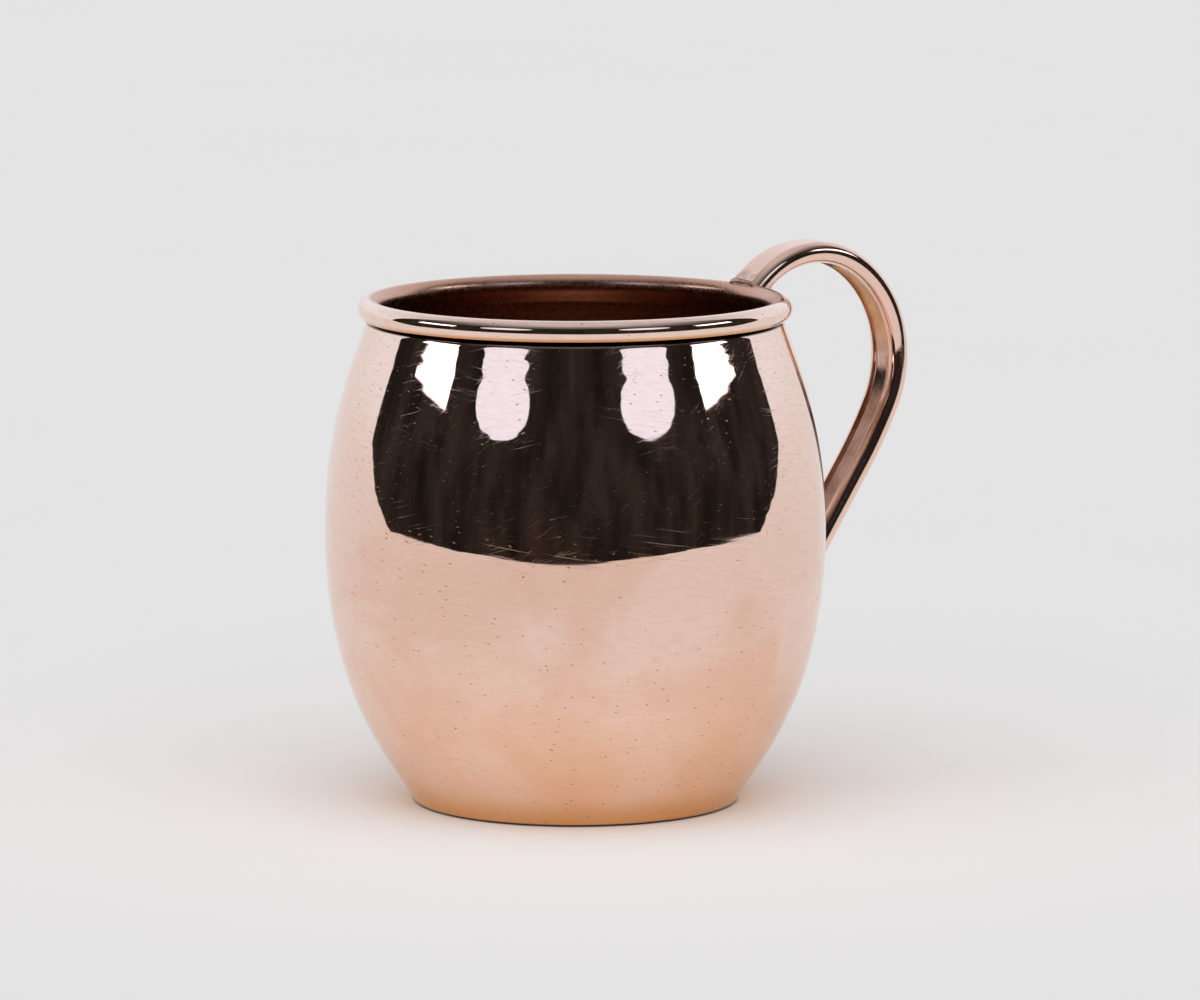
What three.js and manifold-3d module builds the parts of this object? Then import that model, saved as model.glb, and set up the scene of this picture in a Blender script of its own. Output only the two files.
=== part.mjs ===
// Copper mug: a spun barrel-shaped body with a rolled rim and one brazed strap handle.
// Millimetres, +Z up. The origin is the centre of the flat base, and the handle points along +X.
import * as THREE from 'three';
import { mergeVertices } from 'three/addons/utils/BufferGeometryUtils.js';
import Module from 'manifold-3d';

const wasm = await Module();
wasm.setup();

const point = (radius, height) => new THREE.Vector2(radius, height);

// ---- driving dimensions ----
const WALL = 0.9; // thickness of the copper sheet
const GAP = 0.3; // clearance between neighbouring pieces
const AROUND = 48; // facets around the body

const FOOT = { radius: 29.41, cornerRadius: 1.0 }; // where the wall would meet the table
const WALL_LEAN = THREE.MathUtils.degToRad(25.4); // outward lean of the wall at the foot
const BELLY = { radius: 45.46, height: 49.42 }; // widest ring of the barrel
const NECK = { radius: 38.02, height: 87.0 }; // ring just under the rolled rim
const NECK_LEAN = THREE.MathUtils.degToRad(18.6); // inward lean of the wall at the neck
const LOWER_PULL = { foot: 6.3, belly: 31.6 }; // Bezier handle lengths, foot to belly
const UPPER_PULL = { belly: 19.6, neck: 8.0 }; // Bezier handle lengths, belly to neck
const TUCK_PULL = 0.9; // Bezier handle lengths of the tuck under the rim

const RIM = { ringRadius: 37.4, height: 90.0, tubeRadius: 2.0 }; // rolled rim
const CURL_START = THREE.MathUtils.degToRad(205); // where the sheet joins the curl, inside
const CURL_END = THREE.MathUtils.degToRad(-78); // cut edge of the curl, under the rim outside

const STRAP = { width: 8.7, thickness: 3.9 }; // handle strap, both edges fully rounded
const CHANNEL = { floorWidth: 3.2, mouthWidth: 4.4, depth: 0.5 }; // groove along the inner face
const STRAP_START = { radius: 39.54, height: 92.19 }; // centreline, where it leaves the rim
const STRAP_RISE = THREE.MathUtils.degToRad(44.4); // its direction there, above horizontal
const STRAP_BENDS = [
  { radius: 17.3, turn: THREE.MathUtils.degToRad(77.8), steps: 12 }, // over the top
  { radius: 20.9, turn: THREE.MathUtils.degToRad(82.3), steps: 12 }, // down the outside
  { radius: 87.0, turn: THREE.MathUtils.degToRad(8.4), steps: 2 }, // eases into the lower leg
];
const STRAP_ROOT = 4.0; // straight run of the strap back into the rim, before it is coped
const LOWER_LEG = 41.0; // straight run of the strap down into the belly, before it is coped
const STRAP_STEPS = 44; // sections along the strap
const EDGE_STEPS = 8; // facets around each rounded edge of the strap

const BRAZE = { margin: 1.2, height: 1.1 }; // ring of brazing metal around the lower joint
const WEDGE = { // brazing metal in the crook of the upper joint
  width: 6.4,
  bottom: point(39.9, 85.2), // foot of its hollow outer face, on the neck
  hollow: point(40.8, 89.4), // control point of the hollow outer face
  top: point(44.0, 92.4), // head of its hollow outer face, under the strap
};

// ---- helpers ----

// A closed, outward-facing BufferGeometry as a manifold-3d solid.
function solidOf(geometry) {
  const bare = geometry.clone();
  bare.deleteAttribute('normal');
  bare.deleteAttribute('uv');
  const merged = mergeVertices(bare, 1e-5);
  return new wasm.Manifold(new wasm.Mesh({
    numProp: 3,
    vertProperties: new Float32Array(merged.attributes.position.array),
    triVerts: new Uint32Array(merged.index.array),
  }));
}

// A manifold-3d solid as a BufferGeometry.
function geometryOf(solid) {
  const mesh = solid.getMesh();
  const geometry = new THREE.BufferGeometry();
  geometry.setAttribute('position', new THREE.BufferAttribute(mesh.vertProperties, 3));
  geometry.setIndex(new THREE.BufferAttribute(mesh.triVerts, 1));
  geometry.computeVertexNormals();
  return geometry;
}

// A half outline in (radius, height), spun about the Z axis.
function spin(outline) {
  const geometry = new THREE.LatheGeometry(outline, AROUND);
  geometry.rotateX(Math.PI / 2);
  return geometry;
}

// The point at `length` from another one, in the direction `angle` above the horizontal.
const step = (from, length, angle) => point(
  from.x + length * Math.cos(angle),
  from.y + length * Math.sin(angle),
);

// ---- sheet of the body ----

// Outside face of the sheet, from the axis across the base, up the wall and round the curl,
// as curves with the number of facets that each one gets.
function sheetCurves() {
  const wallAngle = Math.PI / 2 - WALL_LEAN;
  const tangent = FOOT.cornerRadius * Math.tan(wallAngle / 2);
  const cornerStart = point(FOOT.radius - tangent, 0);
  const wallStart = step(point(FOOT.radius, 0), tangent, wallAngle);
  const belly = point(BELLY.radius, BELLY.height);
  const neck = point(NECK.radius, NECK.height);
  const neckAngle = Math.PI / 2 + NECK_LEAN;
  const curlRadius = RIM.tubeRadius - WALL;
  const ring = point(RIM.ringRadius, RIM.height);
  const curlStart = step(ring, curlRadius, CURL_START);
  const curlAngle = CURL_START - Math.PI / 2;
  return [
    [new THREE.LineCurve(point(0, 0), cornerStart), 1],
    [new THREE.EllipseCurve(cornerStart.x, FOOT.cornerRadius, FOOT.cornerRadius,
      FOOT.cornerRadius, -Math.PI / 2, wallAngle - Math.PI / 2, false), 2],
    [new THREE.CubicBezierCurve(wallStart, step(wallStart, LOWER_PULL.foot, wallAngle),
      point(belly.x, belly.y - LOWER_PULL.belly), belly), 8],
    [new THREE.CubicBezierCurve(belly, point(belly.x, belly.y + UPPER_PULL.belly),
      step(neck, -UPPER_PULL.neck, neckAngle), neck), 6],
    [new THREE.CubicBezierCurve(neck, step(neck, TUCK_PULL, neckAngle),
      step(curlStart, -TUCK_PULL, curlAngle), curlStart), 2],
    [new THREE.EllipseCurve(ring.x, ring.y, curlRadius, curlRadius,
      CURL_START, CURL_END, true), 9],
  ];
}

// Points along the sheet, moved off its outside face by `offset` (positive: into the cup).
function sheetLine(curves, offset) {
  const line = [];
  for (const [curve, facets] of curves) {
    for (let i = line.length ? 1 : 0; i <= facets; i++) {
      const t = i / facets;
      const at = curve.getPoint(t);
      const along = curve.getTangent(t);
      line.push(point(Math.max(0, at.x - along.y * offset), at.y + along.x * offset));
    }
  }
  line[0].x = 0;
  return line;
}

function bodyGeometry() {
  const curves = sheetCurves();
  const outside = sheetLine(curves, 0);
  const inside = sheetLine(curves, WALL);
  return spin([...outside, ...inside.reverse()]);
}

// Everything within `clearance` of the body's outside, as one solid of revolution.
function bodyEnvelope(clearance) {
  const wall = sheetLine(sheetCurves().slice(0, 4), -clearance);
  const reach = RIM.tubeRadius + clearance;
  const ring = point(RIM.ringRadius, RIM.height);
  const bead = new THREE.EllipseCurve(ring.x, ring.y, reach, reach, -Math.PI / 3, Math.PI / 2);
  return solidOf(spin([...wall, ...bead.getPoints(8), point(0, RIM.height + reach)]));
}

// ---- strap handle ----

// Centreline of the strap in the XZ plane: a straight root, three bends and a straight leg.
function strapPath() {
  let heading = STRAP_RISE;
  let at = step(point(STRAP_START.radius, STRAP_START.height), -STRAP_ROOT, heading);
  const line = [at];
  at = step(at, STRAP_ROOT, heading);
  line.push(at);
  for (const { radius, turn, steps } of STRAP_BENDS) {
    const chord = 2 * radius * Math.sin(turn / steps / 2);
    for (let i = 0; i < steps; i++) {
      heading -= turn / steps / 2;
      at = step(at, chord, heading);
      heading -= turn / steps / 2;
      line.push(at);
    }
  }
  line.push(step(at, LOWER_LEG / 2, heading), step(at, LOWER_LEG, heading));
  const path = new THREE.CurvePath();
  for (let i = 1; i < line.length; i++) {
    const [a, b] = [line[i - 1], line[i]];
    path.add(new THREE.LineCurve3(new THREE.Vector3(a.x, 0, a.y), new THREE.Vector3(b.x, 0, b.y)));
  }
  return path;
}

// Cross-section of the strap: x across its width, y from the outer face to the inner one.
// `grow` moves the rounded outline outwards; the channel is left out of a grown section.
function strapSection(grow = 0) {
  const edge = STRAP.thickness / 2 + grow;
  const side = (STRAP.width - STRAP.thickness) / 2;
  const shape = new THREE.Shape();
  shape.absarc(side, 0, edge, -Math.PI / 2, Math.PI / 2);
  if (grow === 0) {
    shape.lineTo(CHANNEL.mouthWidth / 2, edge);
    shape.lineTo(CHANNEL.floorWidth / 2, edge - CHANNEL.depth);
    shape.lineTo(-CHANNEL.floorWidth / 2, edge - CHANNEL.depth);
    shape.lineTo(-CHANNEL.mouthWidth / 2, edge);
  }
  shape.absarc(-side, 0, edge, Math.PI / 2, 1.5 * Math.PI);
  return shape;
}

function sweptStrap(grow = 0) {
  const options = { steps: STRAP_STEPS, curveSegments: EDGE_STEPS, extrudePath: strapPath() };
  return solidOf(new THREE.ExtrudeGeometry(strapSection(grow), options));
}

function handleGeometry() {
  return geometryOf(sweptStrap().subtract(bodyEnvelope(GAP)));
}

// ---- brazed joints ----

// The space below the widest ring of the belly, as a block that holds the whole mug.
function lowerHalf() {
  const side = 4 * BELLY.radius;
  const box = new THREE.BoxGeometry(side, side, BELLY.height);
  box.translate(0, 0, BELLY.height / 2);
  return solidOf(box);
}

// Ring of brazing metal that lies on the belly around the foot of the strap.
function lowerBrazeGeometry() {
  const ring = sweptStrap(BRAZE.margin)
    .intersect(bodyEnvelope(GAP + BRAZE.height))
    .subtract(bodyEnvelope(GAP))
    .subtract(sweptStrap(GAP))
    .intersect(lowerHalf());
  return geometryOf(ring);
}

// Wedge of brazing metal in the crook between the rolled rim, the neck and the strap.
function upperBrazeGeometry() {
  const { width, bottom, hollow, top } = WEDGE;
  const shape = new THREE.Shape();
  shape.moveTo(RIM.ringRadius, bottom.y);
  shape.lineTo(bottom.x, bottom.y);
  shape.quadraticCurveTo(hollow.x, hollow.y, top.x, top.y);
  shape.lineTo(RIM.ringRadius, top.y);
  const options = { depth: width, bevelEnabled: false, curveSegments: 6 };
  const wedge = new THREE.ExtrudeGeometry(shape, options);
  wedge.rotateX(Math.PI / 2);
  wedge.translate(0, width / 2, 0);
  return geometryOf(solidOf(wedge).subtract(bodyEnvelope(GAP)).subtract(sweptStrap(GAP)));
}

// ---- materials ----

function polishedCopper() {
  return new THREE.MeshStandardMaterial({ color: 0xe8b79a, roughness: 0.08, metalness: 1.0 });
}

function handleCopper() {
  return new THREE.MeshStandardMaterial({ color: 0xe0ab8f, roughness: 0.16, metalness: 1.0 });
}

function brazingMetal() {
  return new THREE.MeshStandardMaterial({ color: 0xb98b5e, roughness: 0.35, metalness: 1.0 });
}

// ---- assembly ----

function piece(name, geometry, material) {
  const mesh = new THREE.Mesh(geometry, material);
  mesh.name = name;
  return mesh;
}

const mug = new THREE.Group();
mug.add(
  piece('body_shell', bodyGeometry(), polishedCopper()),
  piece('handle_strap', handleGeometry(), handleCopper()),
  piece('upper_braze', upperBrazeGeometry(), brazingMetal()),
  piece('lower_braze', lowerBrazeGeometry(), brazingMetal()),
);

export default mug;
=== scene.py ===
"""Copper mug: the finely meshed, copper-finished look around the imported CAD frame."""

import math

import bmesh
import bpy
import numpy as np
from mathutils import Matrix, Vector


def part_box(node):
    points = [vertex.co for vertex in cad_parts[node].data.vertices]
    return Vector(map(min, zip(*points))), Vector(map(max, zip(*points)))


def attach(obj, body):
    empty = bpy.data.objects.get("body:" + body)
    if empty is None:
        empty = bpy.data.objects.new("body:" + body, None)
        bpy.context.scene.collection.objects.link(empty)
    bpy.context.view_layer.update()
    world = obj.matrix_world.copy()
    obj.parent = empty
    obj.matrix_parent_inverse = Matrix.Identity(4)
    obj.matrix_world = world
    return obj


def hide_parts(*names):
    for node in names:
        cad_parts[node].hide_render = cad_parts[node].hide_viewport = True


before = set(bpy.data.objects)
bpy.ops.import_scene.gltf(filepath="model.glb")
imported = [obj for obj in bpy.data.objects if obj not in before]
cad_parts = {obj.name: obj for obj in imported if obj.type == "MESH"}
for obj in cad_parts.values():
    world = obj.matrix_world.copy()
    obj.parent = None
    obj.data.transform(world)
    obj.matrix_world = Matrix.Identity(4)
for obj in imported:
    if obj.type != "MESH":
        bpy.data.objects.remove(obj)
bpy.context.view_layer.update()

MM = 0.001
BODY_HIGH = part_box("body_shell")[1]
BELLY_RADIUS = BODY_HIGH.x
BRIM_HEIGHT = BODY_HIGH.z

# ---- dimensions, in metres and radians ----
WALL = 0.9 * MM
FOOT_RADIUS = 29.41 * MM
FOOT_CORNER = 1.0 * MM
WALL_LEAN = math.radians(25.4)
BELLY_HEIGHT = 49.42 * MM
NECK = (38.02 * MM, 87.0 * MM)
NECK_LEAN = math.radians(18.6)
LOWER_PULL = (6.3 * MM, 31.6 * MM)
UPPER_PULL = (19.6 * MM, 8.0 * MM)
TUCK_PULL = 0.9 * MM
TUBE_RADIUS = 2.0 * MM
RING_RADIUS = 37.4 * MM
RING_HEIGHT = BRIM_HEIGHT - TUBE_RADIUS
CURL_START = math.radians(205)
CURL_END = math.radians(-78)
AROUND = 360
SPUN_RING = 82.8 * MM
SPUN_RING_REACH = 2.6 * MM
SPUN_RING_PITCH = 5.6 * MM
SPUN_RING_DEPTH = 0.0105 * MM
BELLY_RING = 51.2 * MM
BELLY_RING_DEPTH = 0.0045 * MM
FINE_RING_DEPTH = 0.0008 * MM

STRAP_WIDTH = 8.7 * MM
STRAP_THICKNESS = 3.9 * MM
CHANNEL_MOUTH = 4.6 * MM
CHANNEL_DEPTH = 0.45 * MM
STRAP_START = (39.54 * MM, 92.19 * MM)
STRAP_RISE = math.radians(44.4)
STRAP_ROOT = 6.0 * MM
STRAP_LEG = 46.0 * MM
STRAP_BENDS = (
    (17.3 * MM, math.radians(77.8)),
    (20.9 * MM, math.radians(82.3)),
    (87.0 * MM, math.radians(8.4)),
)
STRAP_STEPS = 300

CAMERA_AZIMUTH = math.radians(-34.0)
CAMERA_DISTANCE = 1.350
CAMERA_HEIGHT = 0.2477
CAMERA_PITCH = math.radians(8.130)
CAMERA_YAW = math.radians(0.19)
CAMERA_LENS = 225.4
SENSOR_WIDTH = 36.0

TABLE_FRONT = 0.39
TABLE_SIDE = 0.60
TABLE_SQUARENESS = 2.4
TABLE_WING = 4.0
TABLE_WING_BACK = 1.1
TABLE_BACK = 6.0
FLOOR_REACH = 12.0

FRONT = Vector((math.sin(CAMERA_AZIMUTH), -math.cos(CAMERA_AZIMUTH), 0.0))
LEFT = Vector((-math.cos(CAMERA_AZIMUTH), -math.sin(CAMERA_AZIMUTH), 0.0))


# ---- mesh helpers ----

def bezier(points, count):
    """`count` points on a cubic Bezier curve, and their unit tangents."""
    t = np.linspace(0.0, 1.0, count)[:, None]
    a, b, c, d = (np.array(p, float) for p in points)
    at = (1 - t) ** 3 * a + 3 * (1 - t) ** 2 * t * b + 3 * (1 - t) * t ** 2 * c + t ** 3 * d
    along = (1 - t) ** 2 * (b - a) + 2 * (1 - t) * t * (c - b) + t ** 2 * (d - c)
    return at, along / np.linalg.norm(along, axis=1)[:, None]


def arc(centre, radius, start, end, count):
    """`count` points on an arc and their unit tangents, in the direction of travel."""
    angle = np.linspace(start, end, count)
    at = np.stack([centre[0] + radius * np.cos(angle), centre[1] + radius * np.sin(angle)], 1)
    along = np.stack([-np.sin(angle), np.cos(angle)], 1) * math.copysign(1.0, end - start)
    return at, along


def line(start, end, count):
    """`count` points on a straight line, and their unit tangents."""
    t = np.linspace(0.0, 1.0, count)[:, None]
    start, end = np.array(start, float), np.array(end, float)
    along = (end - start) / np.linalg.norm(end - start)
    return start + (end - start) * t, np.repeat(along[None], count, 0)


def from_point(start, length, angle):
    """The point at `length` from another one, in the direction `angle`."""
    return (start[0] + length * math.cos(angle), start[1] + length * math.sin(angle))


def new_object(name, vertices, faces, smooth=True):
    """A mesh object in the scene, made of vertices and faces."""
    mesh = bpy.data.meshes.new(name)
    mesh.from_pydata([tuple(v) for v in vertices], [], [tuple(f) for f in faces])
    mesh.validate()
    mesh.update()
    for polygon in mesh.polygons:
        polygon.use_smooth = smooth
    made = bpy.data.objects.new(name, mesh)
    bpy.context.scene.collection.objects.link(made)
    return made


def ring_faces(rings, around, first=0):
    """Quads between `rings` closed rings of `around` vertices each."""
    quads = []
    for i in range(rings - 1):
        row = first + i * around
        for j in range(around):
            k = (j + 1) % around
            quads.append((row + j, row + k, row + around + k, row + around + j))
    return quads


def store(mesh_object, name, values):
    """A named number for each vertex, for the materials to read."""
    attribute = mesh_object.data.attributes.new(name, "FLOAT", "POINT")
    attribute.data.foreach_set("value", np.asarray(values, np.float32))


# ---- the sheet of the body ----

def sheet_line():
    """Points and tangents of the sheet's outside face: base, wall, tuck and curl."""
    wall_angle = math.pi / 2 - WALL_LEAN
    tangent = FOOT_CORNER * math.tan(wall_angle / 2)
    corner = (FOOT_RADIUS - tangent, 0.0)
    wall_start = from_point((FOOT_RADIUS, 0.0), tangent, wall_angle)
    belly = (BELLY_RADIUS, BELLY_HEIGHT)
    neck_angle = math.pi / 2 + NECK_LEAN
    ring = (RING_RADIUS, RING_HEIGHT)
    curl_radius = TUBE_RADIUS - WALL
    curl_start = from_point(ring, curl_radius, CURL_START)
    stretches = (
        line((0.0, 0.0), corner, 14),
        arc((corner[0], FOOT_CORNER), FOOT_CORNER, -math.pi / 2, wall_angle - math.pi / 2, 12),
        bezier((wall_start, from_point(wall_start, LOWER_PULL[0], wall_angle),
                (belly[0], belly[1] - LOWER_PULL[1]), belly), 150),
        bezier((belly, (belly[0], belly[1] + UPPER_PULL[0]),
                from_point(NECK, -UPPER_PULL[1], neck_angle), NECK), 130),
        bezier((NECK, from_point(NECK, TUCK_PULL, neck_angle),
                from_point(curl_start, -TUCK_PULL, CURL_START - math.pi / 2), curl_start), 14),
        arc(ring, curl_radius, CURL_START, CURL_END, 44),
    )
    at = [stretches[0][0]]
    along = [stretches[0][1]]
    for points, tangents in stretches[1:]:
        at.append(points[1:])
        along.append(tangents[1:])
    return np.concatenate(at), np.concatenate(along)


SHEET_AT, SHEET_ALONG = sheet_line()
NECK_INDEX = int(np.argmin(np.hypot(SHEET_AT[:, 0] - NECK[0], SHEET_AT[:, 1] - NECK[1])))
CORNER_INDEX = int(np.argmax(SHEET_AT[:, 1] > 0.0))


def wall_radius(height):
    """Outside radius of the wall at a height."""
    wall = SHEET_AT[CORNER_INDEX - 1:NECK_INDEX + 1]
    return np.interp(height, wall[:, 1], wall[:, 0])


def unevenness(angle, height):
    """Outward error of the spun wall in metres: faint rings and long shallow waves."""
    push = 5.5e-6 * np.sin(height / (2.1 * MM)) * np.sin(height / (5.3 * MM) + 1.0)
    push = push + 6.0e-6 * np.sin(height / (3.4 * MM) + 0.7 * np.sin(2 * angle))
    draw = np.random.default_rng(7)
    for order in range(2, 19):
        for _ in range(3):
            pitch = draw.uniform(18.0, 66.0) * MM
            phase, turn = draw.uniform(0, 2 * math.pi, 2)
            size = 5.0e-6 / math.sqrt(order)
            wave = np.sin(height / pitch * 2 * math.pi + phase)
            push = push + size * np.sin(order * angle + turn) * wave
    tool_mark = np.exp(-((height - SPUN_RING) / SPUN_RING_REACH) ** 2)
    turns = (height - SPUN_RING + SPUN_RING_PITCH / 4) / SPUN_RING_PITCH
    push = push - SPUN_RING_DEPTH * np.sin(turns * 2 * math.pi) * tool_mark
    patchy = 0.5 + 0.5 * np.sin(3 * angle + 1.0) * np.sin(7 * angle + 2.0)
    belly_mark = np.exp(-((height - BELLY_RING) / (1.6 * MM)) ** 2) * patchy
    belly_turns = np.sin(height / (2.3 * MM) * 2 * math.pi + 2 * np.sin(5 * angle))
    push = push + BELLY_RING_DEPTH * belly_turns * belly_mark
    jitter = np.sin(height / (2.7 * MM) * 2 * math.pi + 3 * np.sin(4 * angle) + 1.5 * np.sin(11 * angle))
    jitter = jitter + 0.6 * np.sin(height / (1.9 * MM) * 2 * math.pi + 2 * np.sin(9 * angle + 1.0))
    return push + FINE_RING_DEPTH * jitter


def make_body():
    """The cup: one closed skin, spun from the sheet's two faces."""
    outside = SHEET_AT
    normal = np.stack([-SHEET_ALONG[:, 1], SHEET_ALONG[:, 0]], 1)
    inside = SHEET_AT + normal * WALL
    inside[0, 0] = 0.0
    profile = np.concatenate([outside[1:], inside[:0:-1]])
    outward = np.concatenate([-normal[1:], normal[:0:-1]])
    angle = np.arange(AROUND) * 2 * math.pi / AROUND
    count = len(profile)
    heights = profile[:, 1][:, None]
    wavy = np.zeros(count)
    wavy[:len(outside) - 1] = 1.0
    on_wall = np.clip(profile[:, 1] / (3 * MM), 0, 1) * np.clip((NECK[1] - profile[:, 1]) / (2 * MM), 0, 1)
    push = unevenness(angle[None, :], heights) * (wavy * on_wall)[:, None]
    radius = profile[:, 0][:, None] + outward[:, 0][:, None] * push
    height = heights + outward[:, 1][:, None] * push
    rows = np.stack([radius * np.cos(angle), radius * np.sin(angle), height], 2).reshape(-1, 3)
    poles = np.array([[0.0, 0.0, 0.0], [0.0, 0.0, WALL]])
    vertices = np.concatenate([rows, poles])
    faces = ring_faces(count, AROUND)
    bottom, top = len(rows), len(rows) + 1
    last = (count - 1) * AROUND
    for j in range(AROUND):
        k = (j + 1) % AROUND
        faces.append((bottom, k, j))
        faces.append((top, last + j, last + k))
    body = new_object("mug_body", vertices, faces)
    split = len(outside) - 1
    inner = np.zeros(count)
    inner[split:] = 1.0
    ring_angle = np.degrees(np.arctan2(profile[:, 1] - RING_HEIGHT, profile[:, 0] - RING_RADIUS)) % 360
    on_curl = np.hypot(profile[:, 0] - RING_RADIUS, profile[:, 1] - RING_HEIGHT) < TUBE_RADIUS * 1.02
    dull = np.clip((ring_angle - 82.0) / 22.0, 0, 1)
    dull[ring_angle > 270] = 0.0
    inner[split:] = np.where(on_curl[split:], dull[split:], 1.0)
    inner[:split] = 0.0
    store(body, "inside", np.concatenate([np.repeat(inner, AROUND), [0.0, 1.0]]))
    return body


# ---- the strap handle ----

def strap_line():
    """Centreline of the strap in (radius, height), and its directions, evenly spaced."""
    lengths = [STRAP_ROOT] + [radius * turn for radius, turn in STRAP_BENDS] + [STRAP_LEG]
    curvatures = [0.0] + [-1.0 / radius for radius, _ in STRAP_BENDS] + [0.0]
    joints = np.cumsum([0.0] + lengths)
    fine = np.linspace(0.0, joints[-1], 4001)
    stretch = np.clip(np.searchsorted(joints, fine, "right") - 1, 0, len(lengths) - 1)
    curvature = np.array(curvatures)[stretch]
    soft = np.ones(161) / 161
    curvature = np.convolve(np.pad(curvature, 80, "edge"), soft, "valid")
    gap = fine[1] - fine[0]
    heading = STRAP_RISE + np.concatenate([[0.0], np.cumsum((curvature[1:] + curvature[:-1]) / 2 * gap)])
    steps = np.stack([np.cos(heading), np.sin(heading)], 1)
    at = np.concatenate([[[0.0, 0.0]], np.cumsum((steps[1:] + steps[:-1]) / 2 * gap, axis=0)])
    anchor = np.array([np.interp(STRAP_ROOT, fine, at[:, 0]), np.interp(STRAP_ROOT, fine, at[:, 1])])
    at += np.array(STRAP_START) - anchor
    return fine, at, steps


STRAP_FINE, STRAP_AT, STRAP_DIRECTION = strap_line()


def strap_section():
    """Closed outline of the strap: (across its width, towards the finger loop)."""
    edge = STRAP_THICKNESS / 2
    side = (STRAP_WIDTH - STRAP_THICKNESS) / 2
    points = []
    for angle in np.linspace(-90, 90, 31):
        a = math.radians(angle)
        points.append((side + edge * math.cos(a), edge * math.sin(a)))
    mouth = CHANNEL_MOUTH / 2
    for t in np.linspace(0, 1, 23)[1:-1]:
        x = mouth * (1 - 2 * t)
        dip = CHANNEL_DEPTH * min(1.0, (1 - abs(x / mouth)) / 0.22) ** 0.7
        points.append((x, edge - dip))
    for angle in np.linspace(90, 270, 31):
        a = math.radians(angle)
        points.append((-side + edge * math.cos(a), edge * math.sin(a)))
    for t in np.linspace(0, 1, 13)[1:-1]:
        x = side * (2 * t - 1)
        points.append((x, -edge))
    return np.array(points)


def strap_point(along, across, inward):
    """Points of the strap in the row frame, from distance along and section coordinates."""
    r = np.interp(along, STRAP_FINE, STRAP_AT[:, 0])
    z = np.interp(along, STRAP_FINE, STRAP_AT[:, 1])
    dr = np.interp(along, STRAP_FINE, STRAP_DIRECTION[:, 0])
    dz = np.interp(along, STRAP_FINE, STRAP_DIRECTION[:, 1])
    return np.stack([r + dz * inward, across + 0 * r, z - dr * inward], -1)


def above_body(points):
    """Distance of points outside the body's skin, about right close to it."""
    r = np.hypot(points[..., 0], points[..., 1])
    z = points[..., 2]
    slope = (wall_radius(z + 0.5 * MM) - wall_radius(z - 0.5 * MM)) / MM
    from_wall = (r - wall_radius(z)) / np.sqrt(1 + slope ** 2)
    from_bead = np.hypot(r - RING_RADIUS, z - RING_HEIGHT) - TUBE_RADIUS
    return np.minimum(np.where(z > NECK[1], from_wall + 1.0 * MM, from_wall), from_bead)


def landing(across, inward, start, end, depth):
    """Distance along the strap where each of its lines sinks `depth` into the body."""
    along = np.linspace(start, end, 600)
    found = np.zeros(len(across))
    for i, (u, v) in enumerate(zip(across, inward)):
        clear = above_body(strap_point(along, u, v)) + depth
        outside = np.nonzero(clear > 0)[0]
        first = outside[0]
        if first == 0:
            found[i] = along[0]
        else:
            a, b = clear[first - 1], clear[first]
            found[i] = along[first - 1] + (along[first] - along[first - 1]) * (-a / (b - a))
    return found


SECTION = strap_section()
TOTAL = STRAP_FINE[-1]
TOP_LANDING = landing(SECTION[:, 0], SECTION[:, 1], 0.0, 16 * MM, 0.35 * MM)
FOOT_LANDING = landing(SECTION[:, 0], SECTION[:, 1], TOTAL, TOTAL - 40 * MM, 0.35 * MM)


def make_handle():
    """The strap, coped onto the rim at the top and onto the belly at the foot."""
    t = np.linspace(0, 1, STRAP_STEPS)[:, None]
    top, foot = TOP_LANDING[None, :], FOOT_LANDING[None, :]
    mean_top, mean_foot = TOP_LANDING.mean(), FOOT_LANDING.mean()
    base = mean_top + (mean_foot - mean_top) * t
    near_top = np.clip(1 - (base - mean_top) / (9 * MM), 0, 1) ** 2
    near_foot = np.clip(1 - (mean_foot - base) / (14 * MM), 0, 1) ** 2
    along = base + (top - mean_top) * near_top + (foot - mean_foot) * near_foot
    across = np.repeat(SECTION[None, :, 0], STRAP_STEPS, 0)
    inward = np.repeat(SECTION[None, :, 1], STRAP_STEPS, 0)
    vertices = strap_point(along, across, inward).reshape(-1, 3)
    count = len(SECTION)
    faces = ring_faces(STRAP_STEPS, count)
    ends = [vertices[:count].mean(0), vertices[-count:].mean(0)]
    first, last = len(vertices), len(vertices) + 1
    start = (STRAP_STEPS - 1) * count
    for j in range(count):
        k = (j + 1) % count
        faces.append((first, k, j))
        faces.append((last, start + j, start + k))
    handle = new_object("mug_handle", np.concatenate([vertices, ends]), faces)
    store(handle, "along", np.concatenate([(along / TOTAL).ravel(), [0.0, 1.0]]))
    store(handle, "across", np.concatenate([across.ravel() / MM, [0.0, 0.0]]))
    store(handle, "inward", np.concatenate([inward.ravel() / MM, [0.0, 0.0]]))
    return handle


# ---- brazed joints ----

def outline_normals():
    """Outward directions of the strap's section outline."""
    ahead = np.roll(SECTION, -1, 0) - np.roll(SECTION, 1, 0)
    normal = np.stack([ahead[:, 1], -ahead[:, 0]], 1)
    return normal / np.linalg.norm(normal, axis=1)[:, None]


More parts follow.
